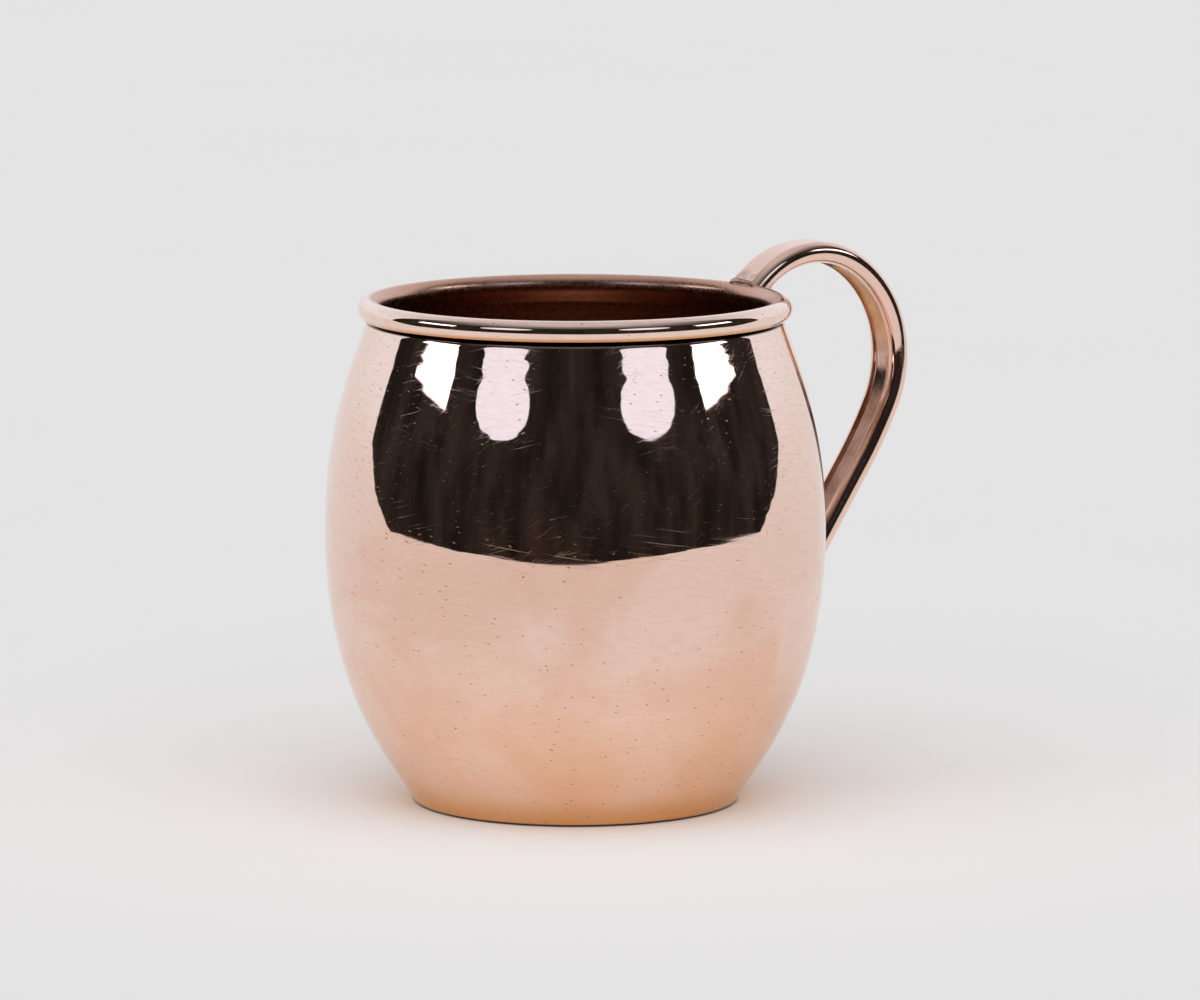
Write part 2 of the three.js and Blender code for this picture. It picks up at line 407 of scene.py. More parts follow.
def make_fillet(name, landings, height, margin, sign):
    """A hollow fillet of brazing metal around one end of the strap.
    `sign` is 1 where the strap leaves the body as distance along it grows."""
    steps = 14
    out = outline_normals()
    out[np.abs(SECTION[:, 0]) < CHANNEL_MOUTH / 2, 0] *= 0.3
    out /= np.linalg.norm(out, axis=1)[:, None]
    t = np.linspace(0, 1, steps)
    draw = np.random.default_rng(11)
    turn = np.linspace(0, 2 * math.pi, len(SECTION), endpoint=False)
    uneven = 1 + 0.08 * np.sin(3 * turn + draw.uniform(0, 6)) + 0.06 * np.sin(7 * turn + draw.uniform(0, 6))
    rings = []
    for step in t:
        grow = margin * step ** 1.7 * uneven
        rise = height * (1 - step) ** 1.7 * uneven
        shape = SECTION + out * (grow - 0.06 * MM * (1 - step))[:, None]
        where = landing(shape[:, 0], shape[:, 1], *landings, 0.05 * MM * step)
        rings.append(strap_point(where + sign * rise, shape[:, 0], shape[:, 1]))
    inner = SECTION + out * margin * 0.5
    under = landing(inner[:, 0], inner[:, 1], *landings, 0.4 * MM)
    rings.append(strap_point(under, inner[:, 0], inner[:, 1]))
    core = SECTION - out * 0.5 * MM
    deep = landing(core[:, 0], core[:, 1], *landings, 0.3 * MM)
    rings.append(strap_point(deep, core[:, 0], core[:, 1]))
    rings.append(strap_point(deep + sign * height * 0.8, core[:, 0], core[:, 1]))
    count = len(SECTION)
    faces = ring_faces(len(rings), count)
    start = (len(rings) - 1) * count
    for j in range(count):
        k = (j + 1) % count
        faces.append((start + j, start + k, k, j))
    return new_object(name, np.concatenate(rings), faces)


WEDGE_WIDTH = 6.4 * MM
WEDGE_BOTTOM = (39.3 * MM, 85.2 * MM)
WEDGE_HOLLOW = (40.8 * MM, 89.4 * MM)
WEDGE_INSIDE = ((38.9 * MM, 90.6 * MM), (38.2 * MM, 88.0 * MM), (38.3 * MM, 86.2 * MM))


def make_wedge(piece):
    """Brazing metal that fills the corner between the strap, the bead and the neck."""
    meeting = strap_point(STRAP_ROOT + 4.6 * MM, 0.0, STRAP_THICKNESS / 2 - 0.7 * MM)
    top = np.array([meeting[0], meeting[2]])
    hollow = np.array(WEDGE_HOLLOW)
    bottom = np.array(WEDGE_BOTTOM)
    t = np.linspace(0, 1, 17)[:, None]
    face = (1 - t) ** 2 * bottom + 2 * (1 - t) * t * hollow + t ** 2 * top
    outline = np.concatenate([face, [STRAP_START], WEDGE_INSIDE])
    middle = np.array(WEDGE_INSIDE[0])
    rows = []
    across = np.linspace(-1, 1, 21)
    for u in across:
        shrink = 1 - 0.35 * abs(u) ** 5
        ring = middle + (outline - middle) * shrink
        rows.append(np.stack([ring[:, 0], np.full(len(ring), u * WEDGE_WIDTH / 2), ring[:, 1]], 1))
    count = len(outline)
    vertices = np.concatenate(rows)
    faces = [tuple(reversed(face)) for face in ring_faces(len(rows), count)]
    last = (len(rows) - 1) * count
    faces.append(tuple(range(count)))
    faces.append(tuple(reversed(range(last, last + count))))
    return join_mesh(piece, vertices, faces)


def join_mesh(piece, vertices, faces):
    """Adds a second closed part to a piece's mesh."""
    extra = new_object("extra_part", vertices, faces)
    made = bmesh.new()
    made.from_mesh(piece.data)
    made.from_mesh(extra.data)
    made.to_mesh(piece.data)
    made.free()
    bpy.data.objects.remove(extra)
    return piece


# ---- shader helpers ----

class Nodes:
    """A node tree with short calls for the nodes used here."""

    def __init__(self, tree):
        self.tree = tree
        tree.nodes.clear()

    def add(self, kind, **inputs):
        node = self.tree.nodes.new(kind)
        for name, value in inputs.items():
            self.put(node, name.replace("_", " "), value)
        return node

    def put(self, node, name, value):
        socket = node.inputs[name]
        if isinstance(value, bpy.types.NodeSocket):
            self.tree.links.new(value, socket)
        else:
            socket.default_value = value

    def math(self, operation, *values, clamp=False):
        node = self.tree.nodes.new("ShaderNodeMath")
        node.operation = operation
        node.use_clamp = clamp
        for i, value in enumerate(values):
            self.put(node, i, value)
        return node.outputs[0]

    def between(self, value, low, high, to_low=0.0, to_high=1.0, smooth=True):
        node = self.tree.nodes.new("ShaderNodeMapRange")
        node.interpolation_type = "SMOOTHSTEP" if smooth else "LINEAR"
        for i, item in enumerate((value, low, high, to_low, to_high)):
            self.put(node, i, item)
        return node.outputs[0]

    def mix(self, factor, first, second):
        node = self.tree.nodes.new("ShaderNodeMix")
        node.data_type = "RGBA"
        self.put(node, 0, factor)
        self.put(node, 6, first)
        self.put(node, 7, second)
        return node.outputs[2]

    def noise(self, vector, scale, detail=3.0, roughness=0.55, distortion=0.0):
        node = self.tree.nodes.new("ShaderNodeTexNoise")
        self.put(node, "Vector", vector)
        self.put(node, "Scale", scale)
        self.put(node, "Detail", detail)
        self.put(node, "Roughness", roughness)
        self.put(node, "Distortion", distortion)
        return node.outputs[0]

    def stretch(self, vector, scale):
        node = self.tree.nodes.new("ShaderNodeVectorMath")
        node.operation = "MULTIPLY"
        self.put(node, 0, vector)
        self.put(node, 1, scale)
        return node.outputs[0]

    def combine(self, x, y, z):
        node = self.tree.nodes.new("ShaderNodeCombineXYZ")
        for i, value in enumerate((x, y, z)):
            self.put(node, i, value)
        return node.outputs[0]

    def bump(self, height, strength, distance):
        node = self.tree.nodes.new("ShaderNodeBump")
        self.put(node, "Height", height)
        self.put(node, "Strength", strength)
        self.put(node, "Distance", distance)
        return node.outputs[0]

    def attribute(self, name):
        node = self.tree.nodes.new("ShaderNodeAttribute")
        node.attribute_name = name
        return node.outputs["Fac"]


def principled(name):
    """A new material with a Principled shader: (material, nodes, shader)."""
    material = bpy.data.materials.new(name)
    material.use_nodes = True
    nodes = Nodes(material.node_tree)
    shader = nodes.add("ShaderNodeBsdfPrincipled")
    output = nodes.add("ShaderNodeOutputMaterial")
    material.node_tree.links.new(shader.outputs[0], output.inputs[0])
    return material, nodes, shader


def cylinder_coordinates(nodes):
    """(object position, angle about the axis, height, radius) sockets."""
    position = nodes.add("ShaderNodeTexCoord").outputs["Object"]
    split = nodes.add("ShaderNodeSeparateXYZ", Vector=position)
    x, y, z = split.outputs
    angle = nodes.math("ARCTAN2", y, x)
    square = nodes.math("ADD", nodes.math("MULTIPLY", x, x), nodes.math("MULTIPLY", y, y))
    radius = nodes.math("SQRT", square)
    return position, angle, z, radius


def pits(nodes, position, spacing, size, keep):
    """Small round specks: 1 in a speck and 0 elsewhere. `keep` is the share of cells with one."""
    cells = nodes.tree.nodes.new("ShaderNodeTexVoronoi")
    nodes.put(cells, "Vector", position)
    nodes.put(cells, "Scale", 1.0 / spacing)
    nodes.put(cells, "Randomness", 1.0)
    share = nodes.add("ShaderNodeSeparateColor", Color=cells.outputs["Color"]).outputs[0]
    chosen = nodes.math("LESS_THAN", share, keep)
    disc = nodes.between(cells.outputs["Distance"], size * 0.4, size, 1.0, 0.0)
    return nodes.math("MULTIPLY", disc, chosen)


# ---- materials ----

POLISHED = (0.965, 0.735, 0.640, 1.0)
PAINTED_WARM_REFLECTION = (0.88, 0.54, 0.31, 1.0)
ROSY = (0.88, 0.56, 0.43, 1.0)
PAINTED_WARM_SHADE = (0.74, 0.39, 0.14, 1.0)
PAINTED_SHADE = (0.06, 0.025, 0.012, 1.0)
INTERIOR = (0.60, 0.36, 0.26, 1.0)
RIM_DULL = (0.72, 0.42, 0.32, 1.0)
SPECK = (0.30, 0.14, 0.08, 1.0)
BRUSHED = (0.70, 0.45, 0.34, 1.0)
PATINA_DARK = (0.54, 0.25, 0.10, 1.0)
PATINA_LIGHT = (0.78, 0.44, 0.24, 1.0)
CLEAN_STRAP = (0.92, 0.65, 0.54, 1.0)
PAPER_DARK = (0.800, 0.796, 0.801, 1.0)
PAPER_LIGHT = (0.804, 0.802, 0.806, 1.0)


def tilted_axes(nodes, angle, height, tilt):
    """Distances in millimetres over the unrolled wall, along and across a tilted direction."""
    tilt = math.radians(tilt)
    round_wall = nodes.math("MULTIPLY", angle, BELLY_RADIUS / MM)
    up = nodes.math("MULTIPLY", height, 1 / MM)
    along = nodes.math("ADD", nodes.math("MULTIPLY", round_wall, math.cos(tilt)),
                       nodes.math("MULTIPLY", up, math.sin(tilt)))
    across = nodes.math("SUBTRACT", nodes.math("MULTIPLY", up, math.cos(tilt)),
                        nodes.math("MULTIPLY", round_wall, math.sin(tilt)))
    return along, across


def hairlines(nodes, angle, height, tilt, length, width, seed):
    """Fine scratches of a length and width in millimetres, tilted from level in degrees."""
    along, across = tilted_axes(nodes, angle, height, tilt)
    where = nodes.combine(nodes.math("MULTIPLY", along, 1 / length),
                          nodes.math("MULTIPLY", across, 0.5 / width), seed)
    lines = nodes.between(nodes.noise(where, 1.0, 1.0, 0.5), 0.64, 0.74)
    region = nodes.noise(nodes.combine(nodes.math("MULTIPLY", along, 0.05),
                                       nodes.math("MULTIPLY", across, 0.07), seed), 1.0)
    return nodes.math("MULTIPLY", lines, nodes.between(region, 0.42, 0.62))


def nicks(nodes, angle, height, tilt, spacing, size, keep):
    """Short dents in the wall, longer than wide, tilted from level in degrees; sizes in mm."""
    along, across = tilted_axes(nodes, angle, height, tilt)
    cells = nodes.tree.nodes.new("ShaderNodeTexVoronoi")
    cells.voronoi_dimensions = "2D"
    nodes.put(cells, "Vector", nodes.combine(nodes.math("MULTIPLY", along, 1 / (4 * spacing)),
                                             nodes.math("MULTIPLY", across, 1 / spacing), 0.0))
    nodes.put(cells, "Scale", 1.0)
    share = nodes.add("ShaderNodeSeparateColor", Color=cells.outputs["Color"]).outputs[0]
    dash = nodes.between(cells.outputs["Distance"], size / spacing * 0.4, size / spacing, 1.0, 0.0)
    return nodes.math("MULTIPLY", dash, nodes.math("LESS_THAN", share, keep))


def body_copper():
    """Mirror-polished outside with buffing lines and specks; brown satin inside with rings."""
    material, nodes, shader = principled("polished_copper")
    position, angle, height, radius = cylinder_coordinates(nodes)
    inside = nodes.attribute("inside")
    # tarnish: soft rosy blotches below the shoulder; towards the foot, a painted warm reflection of the
    # copper-lit floor, broken into blotches
    blotch = nodes.noise(nodes.stretch(position, (28.0, 28.0, 40.0)), 1.0, 4.0, 0.6, 0.3)
    low = nodes.between(height, 0.038, 0.002)
    warm_reflection = nodes.math("MULTIPLY", low, nodes.between(blotch, 0.25, 0.75, 0.35, 1.0), clamp=True)
    fingered = nodes.noise(nodes.stretch(position, (42.0, 42.0, 55.0)), 1.0, 3.0, 0.55, 0.6)
    handled = nodes.math("MULTIPLY", nodes.between(fingered, 0.36, 0.66, 0.34, 0.95),
                         nodes.between(height, 0.072, 0.046))
    rosy = nodes.math("MULTIPLY", handled, nodes.between(blotch, 0.2, 0.7, 0.7, 1.0))
    colour = nodes.mix(rosy, POLISHED, ROSY)
    # painted warm reflection, stronger towards the foot
    colour = nodes.mix(nodes.math("MULTIPLY", warm_reflection, 0.85), colour, PAINTED_WARM_REFLECTION)
    # painted warm shade at the foot: copper-tinted reflected light and occlusion close to the floor
    foot_warm_shade = nodes.math("MULTIPLY", nodes.between(height, 0.0065, 0.0008), 0.75)
    colour = nodes.mix(foot_warm_shade, colour, PAINTED_WARM_SHADE)
    speck = nodes.math("MAXIMUM", pits(nodes, position, 1.6 * MM, 0.085, 0.4),
                       pits(nodes, position, 3.7 * MM, 0.05, 0.6))
    dents = nodes.math("MAXIMUM", nicks(nodes, angle, height, -14.0, 1.3, 0.105, 0.20),
                       nicks(nodes, angle, height, 21.0, 2.1, 0.115, 0.16))
    crowded = nodes.between(fingered, 0.34, 0.50, 0.25, 1.0)
    speck = nodes.math("MAXIMUM", speck, nodes.math("MULTIPLY", dents, crowded))
    brushed = nodes.noise(nodes.combine(nodes.math("MULTIPLY", angle, 14.0), 2.0,
                                        nodes.math("ADD", nodes.math("MULTIPLY", height, 1700.0),
                                                   nodes.math("MULTIPLY", angle, 9.0))), 1.0, 4.0, 0.7)
    colour = nodes.mix(nodes.between(brushed, 0.40, 0.72, 0.0, 0.30), colour, BRUSHED)
    colour = nodes.mix(nodes.math("MULTIPLY", speck, 0.80), colour, SPECK)
    # painted shade in a band under the bead
    under_bead_shade = nodes.math("MULTIPLY", nodes.between(height, 89.3 * MM, 88.5 * MM),
                            nodes.between(height, 87.9 * MM, 88.3 * MM))
    colour = nodes.mix(nodes.math("MULTIPLY", under_bead_shade, 0.8), colour, PAINTED_WARM_SHADE)
    # painted contact shadow along the foot, and painted shade in the crevice between the bead and the neck
    foot = nodes.between(height, 0.55 * MM, 0.25 * MM)
    crevice_shade = nodes.math("MULTIPLY", nodes.between(height, 87.3 * MM, 87.6 * MM),
                      nodes.between(height, 88.35 * MM, 88.1 * MM))
    crevice_shade = nodes.math("MULTIPLY", crevice_shade, nodes.between(radius, 38.9 * MM, 38.6 * MM))
    colour = nodes.mix(nodes.math("MAXIMUM", foot, crevice_shade), colour, PAINTED_SHADE)
    hair = nodes.math("MAXIMUM", hairlines(nodes, angle, height, 14.0, 9.0, 0.10, 1.0),
                      hairlines(nodes, angle, height, -9.0, 14.0, 0.09, 5.0))
    hair = nodes.math("MAXIMUM", hair, hairlines(nodes, angle, height, 38.0, 5.0, 0.08, 9.0))
    # inside of the cup: brown satin with turned rings
    rings = nodes.noise(nodes.combine(nodes.math("MULTIPLY", angle, 0.15), 0.0,
                                      nodes.math("MULTIPLY", height, 900.0)), 1.0, 4.0, 0.6)
    wide = nodes.noise(nodes.combine(nodes.math("MULTIPLY", angle, 0.4), 3.0,
                                     nodes.math("MULTIPLY", height, 160.0)), 1.0, 3.0, 0.5)
    grain = nodes.noise(nodes.stretch(position, (900.0, 900.0, 900.0)), 1.0, 3.0, 0.7)
    bright = nodes.math("ADD", nodes.math("MULTIPLY", rings, 0.5), nodes.math("MULTIPLY", wide, 0.5))
    dark_inside = nodes.mix(nodes.between(bright, 0.3, 0.7), (0.47, 0.26, 0.17, 1.0), INTERIOR)
    lip = nodes.between(height, BRIM_HEIGHT - 4.6 * MM, BRIM_HEIGHT - 2.6 * MM)
    rim_tone = nodes.mix(nodes.between(grain, 0.3, 0.7), (0.60, 0.34, 0.255, 1.0), RIM_DULL)
    dull = nodes.mix(lip, dark_inside, rim_tone)
    colour = nodes.mix(inside, colour, dull)
    nodes.put(shader, "Base Color", colour)
    shader.inputs["Metallic"].default_value = 1.0
    # roughness: a mirror outside, satin inside
    haze = nodes.noise(nodes.stretch(position, (60.0, 60.0, 60.0)), 1.0, 4.0, 0.6)
    polish = nodes.between(haze, 0.3, 0.8, 0.015, 0.05)
    polish = nodes.math("ADD", polish, nodes.math("MULTIPLY", warm_reflection, 0.06))
    polish = nodes.math("ADD", polish, nodes.math("MULTIPLY", speck, 0.3))
    polish = nodes.math("ADD", polish, nodes.math("MULTIPLY", hair, 0.22))
    satin = nodes.between(grain, 0.2, 0.8, 0.22, 0.38)
    nodes.put(shader, "Roughness", nodes.math("ADD", nodes.math("MULTIPLY", inside, satin),
              nodes.math("MULTIPLY", nodes.math("SUBTRACT", 1.0, inside), polish)))
    # relief: buffing lines round the wall, pits, and turned rings inside
    lines = nodes.noise(nodes.combine(nodes.math("MULTIPLY", angle, 2.2), 5.0,
                                      nodes.math("MULTIPLY", height, 2600.0)), 1.0, 2.0, 0.5, 0.0)
    slanted = nodes.noise(nodes.combine(nodes.math("ADD", nodes.math("MULTIPLY", angle, 9.0),
                                                   nodes.math("MULTIPLY", height, 60.0)), 9.0,
                                        nodes.math("MULTIPLY", height, 1500.0)), 1.0, 2.0, 0.6, 0.1)
    outside_relief = nodes.math("ADD", nodes.math("MULTIPLY", lines, 0.5),
                                nodes.math("MULTIPLY", slanted, 0.5))
    outside_relief = nodes.math("SUBTRACT", outside_relief, nodes.math("MULTIPLY", speck, 1.5))
    deep = nodes.math("SUBTRACT", 1.0, lip)
    inside_relief = nodes.math("ADD", nodes.math("MULTIPLY", nodes.math("MULTIPLY", rings, deep), 7.0),
                               nodes.math("MULTIPLY", grain, 0.8))
    outer_part = nodes.math("MULTIPLY", nodes.math("SUBTRACT", 1.0, inside), outside_relief)
    relief = nodes.math("ADD", outer_part, nodes.math("MULTIPLY", inside, inside_relief))
    nodes.put(shader, "Normal", nodes.bump(relief, 1.0, 0.0000012))
    return material


def handle_copper():
    """Polished strap with lengthwise scratches; its inner face is tarnished and pitted in the bend, with
    painted reflections beside it (a light painted highlight before the leg, a dark painted reflection along
    the leg) and painted shade along the channel's creases.
    """
    material, nodes, shader = principled("handle_copper")
    position = nodes.add("ShaderNodeTexCoord").outputs["Object"]
    along = nodes.attribute("along")
    across = nodes.attribute("across")
    inward = nodes.attribute("inward")
    edge = STRAP_THICKNESS / 2 / MM
    mouth = CHANNEL_MOUTH / 2 / MM
    from_middle = nodes.math("ABSOLUTE", across)
    in_channel = nodes.math("MULTIPLY", nodes.between(from_middle, mouth + 0.25, mouth - 0.15),
                            nodes.between(inward, 0.0, edge * 0.4))
    blotch = nodes.noise(nodes.stretch(position, (160.0, 160.0, 160.0)), 1.0, 5.0, 0.65, 0.4)
    fine = nodes.noise(nodes.stretch(position, (1500.0, 1500.0, 1500.0)), 1.0, 2.0, 0.6)
    tarnished = nodes.math("MULTIPLY", nodes.between(along, 0.44, 0.36), nodes.between(along, 0.06, 0.16))
    patina = nodes.mix(nodes.between(blotch, 0.3, 0.7), PATINA_DARK, PATINA_LIGHT)
    # painted reflections on the channel: a light painted highlight before the leg and a dark painted
    # reflection along the leg, in blotches
    leg = nodes.between(along, 0.44, 0.50)
    painted_reflection = nodes.mix(leg, (0.80, 0.56, 0.47, 1.0), (0.25, 0.115, 0.075, 1.0))
    painted_reflection = nodes.mix(nodes.between(blotch, 0.3, 0.7), painted_reflection, (0.46, 0.24, 0.165, 1.0))
    speck = pits(nodes, position, 1.5 * MM, 0.10, 0.4)
    patina = nodes.mix(tarnished, painted_reflection, patina)
    patina = nodes.mix(nodes.math("MULTIPLY", speck, 0.85), patina, (0.07, 0.035, 0.02, 1.0))
    off_stain = nodes.math("ABSOLUTE", nodes.math("SUBTRACT", along, 0.222))
    stain = nodes.math("MULTIPLY", nodes.between(off_stain, 0.020, 0.008), nodes.between(across, 0.6, 1.6))
    stain = nodes.math("MULTIPLY", stain, nodes.between(blotch, 0.3, 0.5))
    patina = nodes.mix(stain, patina, (0.10, 0.10, 0.065, 1.0))
    handled = nodes.math("MULTIPLY", nodes.between(blotch, 0.5, 0.8), 0.25)
    clean = nodes.mix(handled, CLEAN_STRAP, ROSY)
    root = nodes.between(along, 0.070, 0.035)
    smudge = nodes.math("MULTIPLY", root, nodes.between(blotch, 0.42, 0.60))
    clean = nodes.mix(nodes.math("MULTIPLY", smudge, 0.75), clean, (0.26, 0.13, 0.10, 1.0))
    skin = nodes.mix(in_channel, clean, patina)
    # painted shade: a dark line along the creases where the channel meets the rounded edges
    crease = nodes.math("MULTIPLY", nodes.between(from_middle, mouth - 0.22, mouth - 0.02),
                        nodes.between(from_middle, mouth + 0.28, mouth + 0.08))
    crease = nodes.math("MULTIPLY", crease, nodes.between(inward, 0.0, edge * 0.4))
    creased = nodes.mix(nodes.math("MULTIPLY", crease, 0.8), skin, (0.20, 0.08, 0.035, 1.0))
    nodes.put(shader, "Base Color", creased)
    shader.inputs["Metallic"].default_value = 1.0
    flat_outside = nodes.between(inward, -edge * 0.82, -edge * 0.98)
    polish = nodes.between(fine, 0.2, 0.8, 0.05, 0.10)
    polish = nodes.math("ADD", polish, nodes.math("MULTIPLY", flat_outside, 0.14))
    polish = nodes.math("ADD", polish, nodes.math("MULTIPLY", smudge, 0.3))
    rough = nodes.math("ADD", nodes.between(blotch, 0.2, 0.8, 0.08, 0.16),
                       nodes.math("MULTIPLY", tarnished, 0.20))
    nodes.put(shader, "Roughness", nodes.math("ADD", nodes.math("MULTIPLY", in_channel, rough),
              nodes.math("MULTIPLY", nodes.math("SUBTRACT", 1.0, in_channel), polish)))
    scratches = nodes.noise(nodes.combine(nodes.math("MULTIPLY", across, 9.0),
                                          nodes.math("MULTIPLY", inward, 9.0),
                                          nodes.math("MULTIPLY", along, 14.0)), 1.0, 3.0, 0.6)
    relief = nodes.math("ADD", nodes.math("MULTIPLY", scratches, 1.6), nodes.math("MULTIPLY", fine, 0.5))
    rough_relief = nodes.math("SUBTRACT", nodes.math("MULTIPLY", blotch, 10.0),
                              nodes.math("MULTIPLY", speck, 26.0))
    relief = nodes.math("ADD", relief, nodes.math("MULTIPLY", in_channel, rough_relief))
    nodes.put(shader, "Normal", nodes.bump(relief, 1.0, 0.000002))
    return material


def braze_metal():
    """Dull, slightly brassy brazing metal with a grainy skin."""
    material, nodes, shader = principled("brazing_metal")
    position = nodes.add("ShaderNodeTexCoord").outputs["Object"]
    blotch = nodes.noise(nodes.stretch(position, (500.0, 500.0, 500.0)), 1.0, 4.0, 0.6)
    grain = nodes.noise(nodes.stretch(position, (2600.0, 2600.0, 2600.0)), 1.0, 2.0, 0.6)
    patches = nodes.between(blotch, 0.3, 0.7)
    nodes.put(shader, "Base Color", nodes.mix(patches, (0.48, 0.25, 0.16, 1.0), (0.74, 0.46, 0.34, 1.0)))
    shader.inputs["Metallic"].default_value = 1.0
    nodes.put(shader, "Roughness", nodes.between(grain, 0.2, 0.8, 0.22, 0.42))
    relief = nodes.math("ADD", nodes.math("MULTIPLY", blotch, 6.0), grain)
    nodes.put(shader, "Normal", nodes.bump(relief, 1.0, 0.000006))
    return material


def floor_paper():
    """Matt near-white studio paper."""
    material, nodes, shader = principled("studio_paper")
    position = nodes.add("ShaderNodeTexCoord").outputs["Object"]
    cloud = nodes.noise(nodes.stretch(position, (5.0, 5.0, 5.0)), 1.0, 4.0, 0.6)
    grain = nodes.noise(nodes.stretch(position, (700.0, 700.0, 700.0)), 1.0, 2.0, 0.6)
    patches = nodes.between(cloud, 0.3, 0.7)
    nodes.put(shader, "Base Color", nodes.mix(patches, PAPER_DARK, PAPER_LIGHT))
    nodes.put(shader, "Roughness", nodes.between(grain, 0.2, 0.8, 0.8, 0.95))
    shader.inputs["Specular IOR Level"].default_value = 0.0
    nodes.put(shader, "Normal", nodes.bump(grain, 0.2, 0.00002))
    return material


# ---- studio ----

KEY_DIRECTION = Vector((0.44, 0.05, 0.90)).normalized()
KEY_FRONT, KEY_LEFT, KEY_UP = KEY_DIRECTION
KEY_LIGHT = (1.68, 1.67, 1.67, 1.0)
THROWN_LIGHT = (1.75, 1.75, 1.80, 1.0)
SKY_LIGHT = (0.395, 0.40, 0.405, 1.0)


def studio_point(left, front):
    """A point on the floor from its distances to the left and to the front of the mug."""
    p = LEFT * left + FRONT * front
    return (p.x, p.y, 0.0)


def table_edge():
    """The front edge of the table top, from the far left round to the far right."""
    steps = 96
    edge = [(TABLE_WING, -TABLE_WING_BACK)]
    for i in range(steps + 1):
        a = math.pi * i / steps
        across = math.copysign(abs(math.cos(a)) ** (2 / TABLE_SQUARENESS), math.cos(a))
        edge.append((TABLE_SIDE * across, TABLE_FRONT * math.sin(a) ** (2 / TABLE_SQUARENESS)))
    edge.append((-TABLE_WING, -TABLE_WING_BACK))
    return [studio_point(left, front) for left, front in edge]


def make_floor():
    """The table top around the mug, and the rest of the floor at the same height.
    Only the table top is seen in reflections, so its front edge shows in the mug."""
    edge = table_edge()
    back = [studio_point(-TABLE_BACK, -TABLE_BACK), studio_point(TABLE_BACK, -TABLE_BACK)]
    table = edge + back
    near = new_object("table_top", table, [tuple(reversed(range(len(table))))], smooth=False)
    corners = [studio_point(FLOOR_REACH, -TABLE_BACK), studio_point(FLOOR_REACH, FLOOR_REACH),
               studio_point(-FLOOR_REACH, FLOOR_REACH), studio_point(-FLOOR_REACH, -TABLE_BACK)]
    outline = corners + [back[0]] + edge[::-1] + [back[1]]
    far = new_object("floor_beyond", outline, [tuple(range(len(outline)))], smooth=False)
    far.visible_glossy = False
    return near, far


# the studio as reflections see it: degrees round from the front, degrees up, and light levels
DARK_FRONT = (0.010, 0.009, 0.008, 1.0)
DARK_FRONT_LIGHT = (0.034, 0.028, 0.024, 1.0)
KEY_BOX_SIDES = (70.0, 95.0)
KEY_BOX_RISE = (20.0, 28.0)
KEY_BOX_LIGHT = (3.2, 3.2, 3.4, 1.0)
FILL_BOX_CENTRE = (39.0, 26.0)
FILL_BOX_HALF = (15.0, 8.0)
FILL_BOX_LIGHT = (0.95, 1.05, 1.25, 1.0)
OVERHEAD_LIGHT = (0.95, 0.95, 0.96, 1.0)
SCREEN_FOOT = (0.79, 0.775, 0.77, 1.0)
SCREEN_MIDDLE = (0.86, 0.90, 0.96, 1.0)
SCREEN_TOP = (0.60, 0.59, 0.61, 1.0)
CAMERA_BACKGROUND = (0.80, 0.80, 0.808, 1.0)


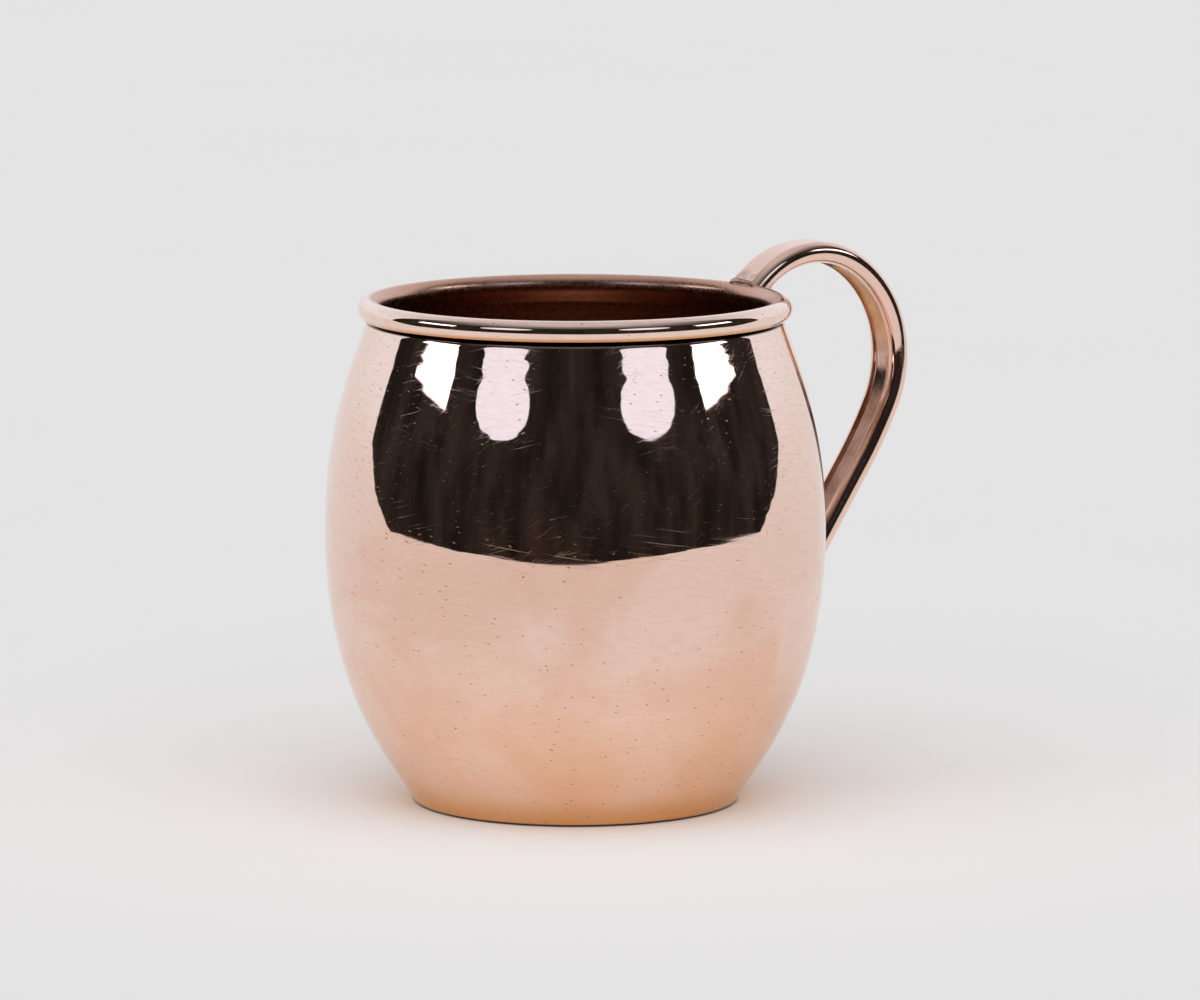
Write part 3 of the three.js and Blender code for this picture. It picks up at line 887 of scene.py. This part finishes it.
def make_world():
    """White studio, dark in front of the mug, with four soft boxes. Only reflections show these."""
    world = bpy.data.worlds.new("studio")
    bpy.context.scene.world = world
    world.use_nodes = True
    world.cycles.sampling_method = "NONE"
    nodes = Nodes(world.node_tree)
    direction = nodes.add("ShaderNodeTexCoord").outputs["Generated"]
    x, y, z = nodes.add("ShaderNodeSeparateXYZ", Vector=direction).outputs
    front = nodes.math("ADD", nodes.math("MULTIPLY", x, FRONT.x), nodes.math("MULTIPLY", y, FRONT.y))
    left = nodes.math("ADD", nodes.math("MULTIPLY", x, LEFT.x), nodes.math("MULTIPLY", y, LEFT.y))
    azimuth = nodes.math("DEGREES", nodes.math("ARCTAN2", left, front))
    elevation = nodes.math("DEGREES", nodes.math("ARCSINE", z))
    away = nodes.math("ABSOLUTE", azimuth)

    def inside_box(low, high, value, soft=0.4):
        return nodes.math("MULTIPLY", nodes.between(value, low - soft, low + soft),
                          nodes.between(value, high + soft, high - soft))

    murk = nodes.noise(nodes.combine(nodes.math("MULTIPLY", azimuth, 0.085),
                                     nodes.math("MULTIPLY", elevation, 0.045), 0.0), 1.0, 3.0, 0.55)
    room = nodes.mix(nodes.between(murk, 0.3, 0.7), DARK_FRONT, DARK_FRONT_LIGHT)
    key_box = nodes.math("MULTIPLY", inside_box(*KEY_BOX_SIDES, away),
                         inside_box(*KEY_BOX_RISE, elevation))
    off_side = nodes.math("DIVIDE", nodes.math("SUBTRACT", away, FILL_BOX_CENTRE[0]), FILL_BOX_HALF[0])
    off_rise = nodes.math("DIVIDE", nodes.math("SUBTRACT", elevation, FILL_BOX_CENTRE[1]), FILL_BOX_HALF[1])
    off_centre = nodes.math("ADD", nodes.math("MULTIPLY", off_side, off_side),
                            nodes.math("MULTIPLY", off_rise, off_rise))
    room = nodes.mix(nodes.between(off_centre, 1.04, 0.96), room, FILL_BOX_LIGHT)
    room = nodes.mix(key_box, room, KEY_BOX_LIGHT)
    overhead = nodes.between(elevation, 31.0, 88.0, 0.0, 0.66)
    room = nodes.mix(overhead, room, OVERHEAD_LIGHT)
    edge = nodes.between(elevation, -6.0, 5.0, 99.0, 113.0, smooth=False)
    backdrop = nodes.between(nodes.math("SUBTRACT", away, edge), -0.4, 0.4)
    low_screen = nodes.mix(nodes.between(elevation, 0.0, 14.0), SCREEN_FOOT, SCREEN_MIDDLE)
    screen = nodes.mix(nodes.between(elevation, 18.0, 62.0), low_screen, SCREEN_TOP)
    reflected = nodes.mix(backdrop, room, screen)
    path = nodes.add("ShaderNodeLightPath")
    toward = nodes.math("ADD", nodes.math("MULTIPLY", front, KEY_FRONT),
                        nodes.math("MULTIPLY", left, KEY_LEFT))
    toward = nodes.math("ADD", toward, nodes.math("MULTIPLY", z, KEY_UP))
    shed = nodes.mix(nodes.between(toward, 0.45, 0.95), SKY_LIGHT, KEY_LIGHT)
    seen = nodes.mix(path.outputs["Is Camera Ray"], shed, CAMERA_BACKGROUND)
    straight = nodes.math("LESS_THAN", path.outputs["Diffuse Depth"], 0.5)
    mirrored = nodes.math("MULTIPLY", path.outputs["Is Glossy Ray"], straight)
    thrown = nodes.math("MULTIPLY", path.outputs["Is Glossy Ray"], nodes.math("SUBTRACT", 1.0, straight))
    seen = nodes.mix(thrown, seen, THROWN_LIGHT)
    colour = nodes.mix(mirrored, seen, reflected)
    background = nodes.add("ShaderNodeBackground", Color=colour)
    output = nodes.add("ShaderNodeOutputWorld")
    world.node_tree.links.new(background.outputs[0], output.inputs[0])


def make_camera():
    """A long lens, a little above the mug, with the handle to the right and away."""
    data = bpy.data.cameras.new("camera")
    data.lens = CAMERA_LENS
    data.sensor_width = SENSOR_WIDTH
    data.clip_start = 0.05
    data.clip_end = 50.0
    camera = bpy.data.objects.new("camera", data)
    bpy.context.scene.collection.objects.link(camera)
    camera.location = FRONT * CAMERA_DISTANCE + Vector((0.0, 0.0, CAMERA_HEIGHT))
    camera.rotation_euler = (math.pi / 2 - CAMERA_PITCH, 0.0, CAMERA_AZIMUTH - CAMERA_YAW)
    bpy.context.scene.camera = camera


# ---- assembly ----

def finish_piece(piece, material, slot, *nodes):
    piece.data.materials.append(material)
    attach(piece, "root")
    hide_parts(*nodes)


make_camera()
make_world()
for ground in make_floor():
    ground.data.materials.append(floor_paper())

finish_piece(make_body(), body_copper(), "polished_copper", "body_shell")
finish_piece(make_handle(), handle_copper(), "handle_copper", "handle_strap")
braze = braze_metal()
upper = make_wedge(make_fillet("mug_upper_braze", (0.0, 16 * MM), 0.35 * MM, 0.32 * MM, 1))
finish_piece(upper, braze, "brazing_metal", "upper_braze")
lower = make_fillet("mug_lower_braze", (TOTAL, TOTAL - 40 * MM), 1.3 * MM, 1.2 * MM, -1)
finish_piece(lower, braze, "brazing_metal", "lower_braze")

bpy.context.scene.view_settings.view_transform = "Standard"
